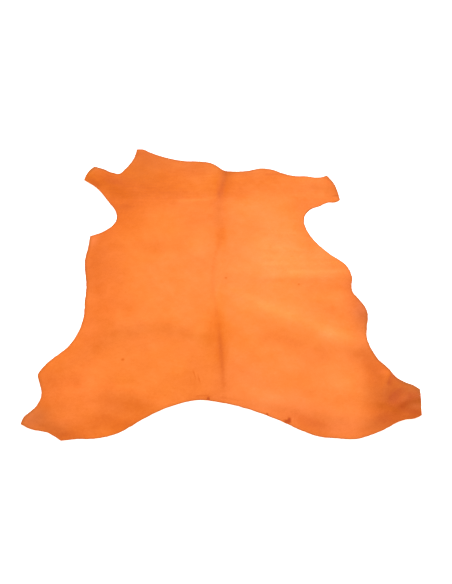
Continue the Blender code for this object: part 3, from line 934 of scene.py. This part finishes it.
def ramp(tree, value, stops):
    """A colour read off evenly blended stops, each a place from 0 to 1 and a colour."""
    made = put(tree, "ShaderNodeValToRGB", {"Fac": value})
    points = made.color_ramp.elements
    while len(points) < len(stops):
        points.new(0.5)
    for point, (position, colour) in zip(points, stops):
        point.position = position
        point.color = (*colour, 1.0)
    return made.outputs["Color"]


def new_material(name):
    """A material with nodes; gives it, its tree and its shader."""
    material = bpy.data.materials.new(name)
    material.use_nodes = True
    tree = material.node_tree
    return material, tree, tree.nodes["Principled BSDF"]


def attribute(tree, name):
    """A value that each vertex carries."""
    return put(tree, "ShaderNodeAttribute", attribute_name=name).outputs["Fac"]


def placed(tree, group, inputs):
    """A group put in a material with its own values; gives its outputs."""
    return put(tree, "ShaderNodeGroup", inputs, node_tree=group).outputs


def raise_surface(tree, finish, height):
    """Bumps a shader's surface by a height in metres."""
    bump = put(tree, "ShaderNodeBump", {"Height": height, "Distance": 1.0, "Strength": 1.0})
    tree.links.new(bump.outputs["Normal"], finish.inputs["Normal"])


# Depth runs from -0.4, pale, through 0, the skin's own orange, to 0.8, burnt; the dark end also carries
# the painted shade, and the pale end, whose stops hold more blue, the painted sheen.
PALEST, DEEPEST = -0.4, 0.8
YELLOW_STOPS = (
    (0.0, (0.96, 0.305, 0.050)),
    (0.133, (0.93, 0.256, 0.032)),
    (0.333, (0.89, 0.210, 0.0130)),
    (0.55, (0.79, 0.154, 0.0030)),
    (0.80, (0.64, 0.108, 0.0010)),
    (1.0, (0.54, 0.069, 0.0006)),
)
PINK_STOPS = (
    (0.0, (0.95, 0.305, 0.098)),
    (0.133, (0.92, 0.256, 0.072)),
    (0.333, (0.895, 0.210, 0.0480)),
    (0.55, (0.74, 0.154, 0.0230)),
    (0.80, (0.60, 0.108, 0.0120)),
    (1.0, (0.51, 0.069, 0.0050)),
)
PINK_BASE = 0.20
OLIVE_BROWN = (0.40, 0.150, 0.022)

# Small marks: across, along, reach across, reach along (cm), turn (degrees), depth.
MARKS = {
    "speck beside the backbone": (0.5, -3.2, 0.46, 0.52, 0, 0.42),
    "speck on the right side": (17.4, -5.3, 0.46, 0.50, 0, 0.40),
    "speck on the left haunch": (-21.4, -28.1, 0.62, 0.62, 0, 0.42),
    "speck on the backbone": (-0.5, -30.1, 0.34, 0.60, 0, 0.10),
    "first tick": (-6.1, -32.1, 0.26, 1.80, 15, 0.24),
    "second tick": (-5.1, -33.4, 0.26, 2.00, 14, 0.24),
    "third tick": (-6.9, -33.2, 0.20, 1.20, 12, 0.10),
    "rim nick": (12.6, -44.2, 1.10, 0.80, -20, 0.90),
    "rim nick's tip": (13.1, -43.7, 0.55, 0.90, 0, 0.70),
    "small rim mark": (8.7, -42.4, 0.42, 0.55, 0, 0.75),
    "rump rim mark": (-3.1, -38.6, 0.44, 0.80, 0, 0.95),
    "left rump rim mark": (-12.6, -41.9, 1.60, 0.40, 30, 0.45),
    "right foreleg corner": (29.2, 27.4, 1.30, 0.45, 0, 0.36),
    "right shoulder, small": (11.3, 7.4, 0.60, 0.40, 0, 0.14),
    "right ribs, small": (16.3, 4.2, 0.60, 0.40, -20, 0.14),
    "left hind sole": (-35.6, -45.1, 1.80, 0.90, -10, 0.14),
    "left hind corner": (-31.2, -47.2, 2.40, 1.30, 10, 0.10),
    "left rump spot": (-25.3, -45.5, 1.80, 0.90, 0, 0.10),
    "left foreleg bend": (-30.8, 35.2, 2.60, 0.60, -20, 0.12),
}


# Patterns of the grain side: size, detail and roughness of each noise, then its distortion.
MOTTLE_SIZE = 50 * MM
PEBBLE_SIZE = 1.2 * MM
STREAKS = (6.5 * MM, 3.0, 0.6, 0.5)
STREAK_TURN = 0.03
STREAK_SQUEEZE = (0.16, 1.0, 1.0)
RIM_PATCHES = (20 * MM, 2.0, 0.5)
STIPPLE = (5.5 * MM, 2.0, 0.6)
HUE_CLOUDS = (70 * MM, 3.0, 0.6)
LUMPS = (12 * MM, 3.0, 0.6)

# What they add to the depth of dye, to its lean to pink, and to the surface's height; the furrows'
# share is painted shade in the grain's furrows.
STREAK_DEPTH = 0.085
MOTTLE_DEPTH = 0.20
STIPPLE_DEPTH = 0.09
FURROW_SHADE_DEPTH = 0.12
RIM_UNEVENNESS = 0.9
RIM_BROWN = 1.1
HUE_CLOUD_PINK = 0.28
MARK_PINK = -0.7
PEBBLE_HEIGHT = 0.045 * MM
LUMP_HEIGHT = 0.10 * MM
STREAK_HEIGHT = 0.14 * MM

GRAIN_ROUGHNESS = 0.54
UNEVEN_ROUGHNESS = 0.10
GRAIN_SPECULAR = 0.09


def dye_marks(tree, place, spot, middle):
    """The small marks, added up as a depth of dye; middle is where the mesh was centred."""
    marks = 0.0
    for across, along, reach_across, reach_along, turn, strength in MARKS.values():
        mask = placed(
            tree, spot,
            {"Place": place,
             "Middle": (across * CM - middle[0], along * CM - middle[1], 0.0),
             "Reach": (reach_across * CM, reach_along * CM, 1.0), "Turn": math.radians(-turn)},
        )["Mask"]
        marks = plus(tree, marks, mask, strength)
    return marks


def colour_mix(tree, share, first, second):
    """Two colours blended by a share that may run past either of them."""
    settings = {"Factor": share, "A": first, "B": second}
    made = put(tree, "ShaderNodeMix", settings, data_type="RGBA", clamp_factor=False)
    return made.outputs["Result"]


def grain_material(groups, middle):
    """The dyed grain side: depth of dye and of painted light and shade read off two rows of colours,
    then browned.
    """
    material, tree, finish = new_material("orange grain leather")
    place = put(tree, "ShaderNodeTexCoord").outputs["Object"]
    mottle = placed(tree, groups["mottle"], {"Place": place, "Size": MOTTLE_SIZE})["Shade"]
    grain = placed(tree, groups["pebble"], {"Place": place, "Cell": PEBBLE_SIZE})
    streaks = noise(tree, drawn_out(tree, place, STREAK_TURN, STREAK_SQUEEZE), *STREAKS)
    streaks = maths(tree, "MULTIPLY", streaks, attribute(tree, "wrinkled"))
    marks = dye_marks(tree, place, groups["spot"], middle)

    rim_share = plus(tree, 1.0, noise(tree, place, *RIM_PATCHES), RIM_UNEVENNESS)
    # The patches and lines of painted light and shade come in here with the dye's own depth.
    depth = plus(tree, attribute(tree, "dye_and_shade_depth"), attribute(tree, "rim_depth"), rim_share)
    depth = plus(tree, depth, streaks, STREAK_DEPTH)
    depth = plus(tree, depth, mottle, MOTTLE_DEPTH)
    depth = plus(tree, depth, noise(tree, place, *STIPPLE), STIPPLE_DEPTH)
    # Painted shade: darker colour in the grain's furrows.
    depth = plus(tree, depth, grain["Furrow"], FURROW_SHADE_DEPTH)
    depth = maths(tree, "ADD", depth, marks)
    share = put(
        tree, "ShaderNodeMapRange", {"Value": depth, "From Min": PALEST, "From Max": DEEPEST},
    ).outputs["Result"]

    pinkness = plus(tree, attribute(tree, "pinkness"), noise(tree, place, *HUE_CLOUDS), HUE_CLOUD_PINK)
    pinkness = maths(tree, "ADD", pinkness, PINK_BASE)
    pinkness = plus(tree, pinkness, marks, MARK_PINK)
    dye = colour_mix(tree, pinkness, ramp(tree, share, YELLOW_STOPS), ramp(tree, share, PINK_STOPS))
    rim_brown = maths(tree, "MULTIPLY", rim_share, RIM_BROWN)
    browned = plus(tree, attribute(tree, "brownness"), attribute(tree, "rim_depth"), rim_brown)
    dye = colour_mix(tree, browned, dye, (*OLIVE_BROWN, 1.0))
    tree.links.new(dye, finish.inputs["Base Color"])

    rough = plus(tree, GRAIN_ROUGHNESS, mottle, UNEVEN_ROUGHNESS)
    rough = plus(tree, rough, grain["Furrow"], UNEVEN_ROUGHNESS)
    tree.links.new(rough, finish.inputs["Roughness"])
    finish.inputs["Specular IOR Level"].default_value = GRAIN_SPECULAR
    lumps = maths(tree, "MULTIPLY", noise(tree, place, *LUMPS), LUMP_HEIGHT)
    height = plus(tree, lumps, grain["Height"], PEBBLE_HEIGHT)
    raise_surface(tree, finish, plus(tree, height, streaks, STREAK_HEIGHT))
    return material


# The cut edge, from the flesh side up to the grain side: packed fibres under a dyed skin.
CUT_STOPS = (
    (0.05, (0.70, 0.24, 0.055)),
    (0.45, (0.80, 0.28, 0.065)),
    (0.80, (0.72, 0.19, 0.030)),
    (0.97, (0.60, 0.125, 0.014)),
)
CUT_FIBRE = 0.4 * MM
CUT_MOTTLE_SIZE = 12 * MM
CUT_MOTTLE = 0.25
CUT_FIBRE_SHADE = 0.12
CUT_FIBRE_HEIGHT = 0.08 * MM


def edge_material(groups):
    """The cut: a thin dyed skin on top, pale packed fibres under it, and the nap below."""
    material, tree, finish = new_material("cut leather edge")
    place = put(tree, "ShaderNodeTexCoord").outputs["Object"]
    fibre = placed(tree, groups["nap"], {"Place": place, "Fibre": CUT_FIBRE})
    mottle = placed(tree, groups["mottle"], {"Place": place, "Size": CUT_MOTTLE_SIZE})["Shade"]
    level = plus(tree, attribute(tree, "through"), mottle, CUT_MOTTLE)
    level = plus(tree, level, fibre["Shade"], CUT_FIBRE_SHADE)
    tree.links.new(ramp(tree, level, CUT_STOPS), finish.inputs["Base Color"])
    finish.inputs["Roughness"].default_value = 0.85
    finish.inputs["Specular IOR Level"].default_value = 0.15
    raise_surface(tree, finish, maths(tree, "MULTIPLY", fibre["Height"], CUT_FIBRE_HEIGHT))
    return material


# The flesh side, from the hollows of its nap to the tips.
FLESH_STOPS = (
    (0.1, (0.50, 0.155, 0.036)),
    (0.5, (0.70, 0.27, 0.085)),
    (0.9, (0.82, 0.38, 0.15)),
)
FLESH_MIDDLE = 0.5
FLESH_FIBRE = 0.9 * MM
FLESH_MOTTLE_SIZE = 60 * MM
FLESH_MOTTLE = 0.45
FLESH_FIBRE_SHADE = 0.30
FLESH_FIBRE_HEIGHT = 0.16 * MM


def flesh_material(groups):
    """The flesh side: paler napped fibres, uneven where they took the dye."""
    material, tree, finish = new_material("napped flesh side")
    place = put(tree, "ShaderNodeTexCoord").outputs["Object"]
    fibre = placed(tree, groups["nap"], {"Place": place, "Fibre": FLESH_FIBRE})
    mottle = placed(tree, groups["mottle"], {"Place": place, "Size": FLESH_MOTTLE_SIZE})["Shade"]
    level = plus(tree, FLESH_MIDDLE, fibre["Shade"], FLESH_FIBRE_SHADE)
    level = plus(tree, level, mottle, FLESH_MOTTLE)
    tree.links.new(ramp(tree, level, FLESH_STOPS), finish.inputs["Base Color"])
    finish.inputs["Roughness"].default_value = 0.95
    finish.inputs["Specular IOR Level"].default_value = 0.1
    finish.inputs["Sheen Weight"].default_value = 0.35
    finish.inputs["Sheen Roughness"].default_value = 0.5
    raise_surface(tree, finish, maths(tree, "MULTIPLY", fibre["Height"], FLESH_FIBRE_HEIGHT))
    return material


FLOOR_SIZE = 30.0
FLOOR_WHITE = (0.93, 0.93, 0.93, 1.0)
FLOOR_GLOW = 0.8
FLOOR_GAP = 0.3 * MM


def make_stage():
    """A wide plain floor just under the skin, whose underside is clear so that the flesh side shows."""
    bpy.ops.mesh.primitive_plane_add(size=FLOOR_SIZE, location=(0.0, 0.0, -FLOOR_GAP))
    floor = bpy.context.object
    floor.name = "studio_floor"
    paint, tree, finish = new_material("white studio floor")
    finish.inputs["Base Color"].default_value = FLOOR_WHITE
    finish.inputs["Roughness"].default_value = 0.9
    finish.inputs["Specular IOR Level"].default_value = 0.0
    finish.inputs["Emission Color"].default_value = (1.0, 1.0, 1.0, 1.0)
    finish.inputs["Emission Strength"].default_value = FLOOR_GLOW
    underside = put(tree, "ShaderNodeNewGeometry").outputs["Backfacing"]
    clear = put(tree, "ShaderNodeBsdfTransparent").outputs[0]
    both = put(tree, "ShaderNodeMixShader", {0: underside, 1: finish.outputs[0], 2: clear})
    tree.links.new(both.outputs[0], tree.nodes["Material Output"].inputs["Surface"])
    floor.data.materials.append(paint)
    return floor


# How bright each light alone makes a white floor, where 1 is full white: the white surround,
# and a round lamp behind the neck, whose direction is seen from the skin.
SURROUND = 0.55
LAMP_SHARE = 0.65
LAMP_DIRECTION = np.array([0.20, 1.06, 1.0])
LAMP_DISTANCE = 12.0
LAMP_SIZE = 5.0


def make_lights():
    """The surround and the lamp, whose power makes up for its distance and slant."""
    world = bpy.data.worlds.new("soft studio")
    bpy.context.scene.world = world
    world.use_nodes = True
    background = world.node_tree.nodes["Background"]
    background.inputs["Color"].default_value = (1.0, 1.0, 1.0, 1.0)
    background.inputs["Strength"].default_value = SURROUND
    across, along, up = LAMP_DIRECTION / np.linalg.norm(LAMP_DIRECTION)
    key = bpy.data.lights.new("key", "AREA")
    key.shape = "DISK"
    key.size = LAMP_SIZE
    key.energy = LAMP_SHARE * math.pi**2 * LAMP_DISTANCE**2 / up
    lamp = bpy.data.objects.new("key", key)
    lamp.location = np.array([across, along, up]) * LAMP_DISTANCE
    lamp.rotation_euler = (math.acos(up), 0.0, math.atan2(along, across) + math.pi / 2)
    bpy.context.collection.objects.link(lamp)


# The camera looks down on the skin from beyond its hind legs.
CAMERA_PLACE = (0.0054, -1.3854, 1.32)
CAMERA_TILT = 45.0
CAMERA_LENS = 50.0
CAMERA_SENSOR = 36.0


def make_camera():
    """The photograph's view of the skin."""
    camera = bpy.data.cameras.new("camera")
    camera.lens = CAMERA_LENS
    camera.sensor_width = CAMERA_SENSOR
    holder = bpy.data.objects.new("camera", camera)
    holder.location = CAMERA_PLACE
    holder.rotation_euler = (math.radians(CAMERA_TILT), 0.0, 0.0)
    bpy.context.collection.objects.link(holder)
    bpy.context.scene.camera = holder


make_camera()
bpy.context.scene.view_settings.view_transform = "Standard"
floor = make_stage()
make_lights()
hide, mark = make_hide()
groups = {
    "mottle": mottle_group(),
    "pebble": pebble_group(),
    "nap": nap_group(),
    "spot": spot_group(),
}
hide.data.materials.append(grain_material(groups, mark))
hide.data.materials.append(edge_material(groups))
hide.data.materials.append(flesh_material(groups))
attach(hide, "root")
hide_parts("hide")
